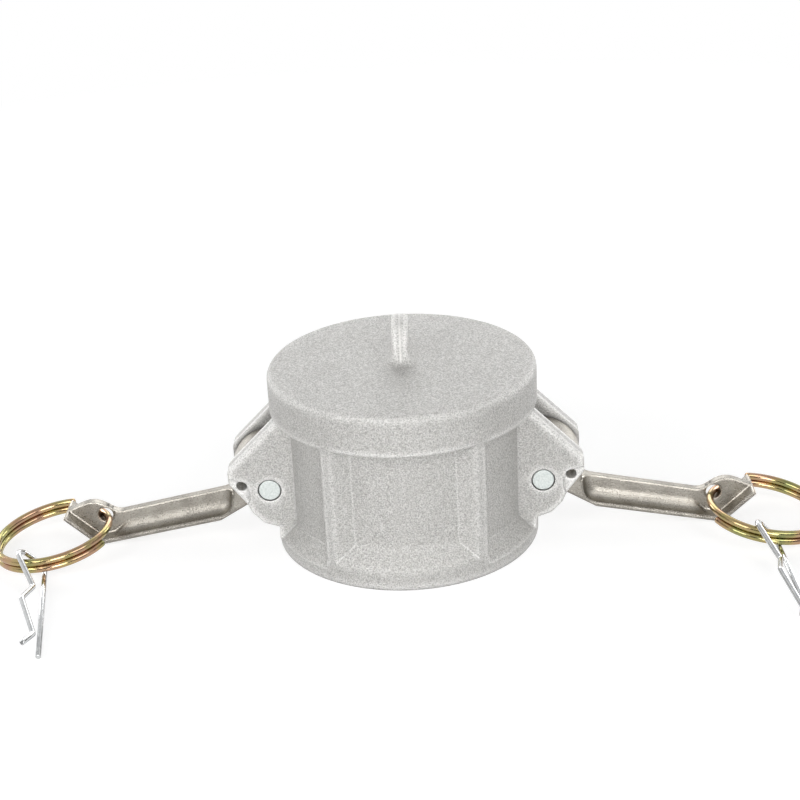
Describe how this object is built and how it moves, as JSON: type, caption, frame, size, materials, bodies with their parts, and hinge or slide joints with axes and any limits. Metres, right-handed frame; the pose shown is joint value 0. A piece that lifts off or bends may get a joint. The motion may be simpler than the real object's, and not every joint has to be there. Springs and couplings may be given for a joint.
{
  "type": "cam and groove coupling",
  "caption": "Cast aluminium cam and groove dust cap with cam arms open on pivot pins, each with a split pull ring and a wire safety clip.",
  "frame": {"origin": "centre of the mouth's rim, on the axis of the bore", "axes": "+Z from the mouth to the closed end, the open arms along -X and +X, the pivot pins along Y"},
  "size_m": [0.2582, 0.108, 0.066],
  "materials": {
    "cast_aluminium": "fine blasted casting",
    "black_rubber": "matte moulded rubber",
    "bright_pin": "faced ends, plated",
    "satin_steel": "satin with polished edges",
    "yellow_zinc": "yellow passivated zinc plate",
    "bright_wire": "bright plated wire"
  },
  "bodies": {
    "cap": {"cap_body": "cast_aluminium", "gasket": "black_rubber", "left_pivot_pin": "bright_pin", "right_pivot_pin": "bright_pin"},
    "left_arm": {"left_cam_arm": "satin_steel"},
    "right_arm": {"right_cam_arm": "satin_steel"},
    "left_ring": {"left_pull_ring": "yellow_zinc"},
    "right_ring": {"right_pull_ring": "yellow_zinc"},
    "left_clip": {"left_safety_clip": "bright_wire"},
    "right_clip": {"right_safety_clip": "bright_wire"}
  },
  "joints": [
    {"name": "right_arm_hinge", "type": "hinge", "parent": "cap", "child": "right_arm", "pos_m": [0.04, 0, 0.0195], "axis": [0, -1, 0], "range_deg": [0, 100]},
    {"name": "left_arm_hinge", "type": "hinge", "parent": "cap", "child": "left_arm", "pos_m": [-0.04, 0, 0.0195], "axis": [0, 1, 0], "range_deg": [0, 100]},
    {"name": "right_ring_swing", "type": "hinge", "parent": "right_arm", "child": "right_ring", "pos_m": [0.09138, 0, 0.00743], "axis": [0, -1, 0], "range_deg": [0, 90]},
    {"name": "left_ring_swing", "type": "hinge", "parent": "left_arm", "child": "left_ring", "pos_m": [-0.09138, 0, 0.00743], "axis": [0, 1, 0], "range_deg": [0, 90]},
    {"name": "right_clip_swing", "type": "hinge", "parent": "right_ring", "child": "right_clip", "pos_m": [0.10528, -0.02446, 0.00489], "axis": [-0.9671, 0.2079, 0.1465], "range_deg": [0, 60]},
    {"name": "left_clip_swing", "type": "hinge", "parent": "left_ring", "child": "left_clip", "pos_m": [-0.10919, -0.02487, 0.00436], "axis": [-0.9887, 0, -0.1498], "range_deg": [0, 60]}
  ]
}
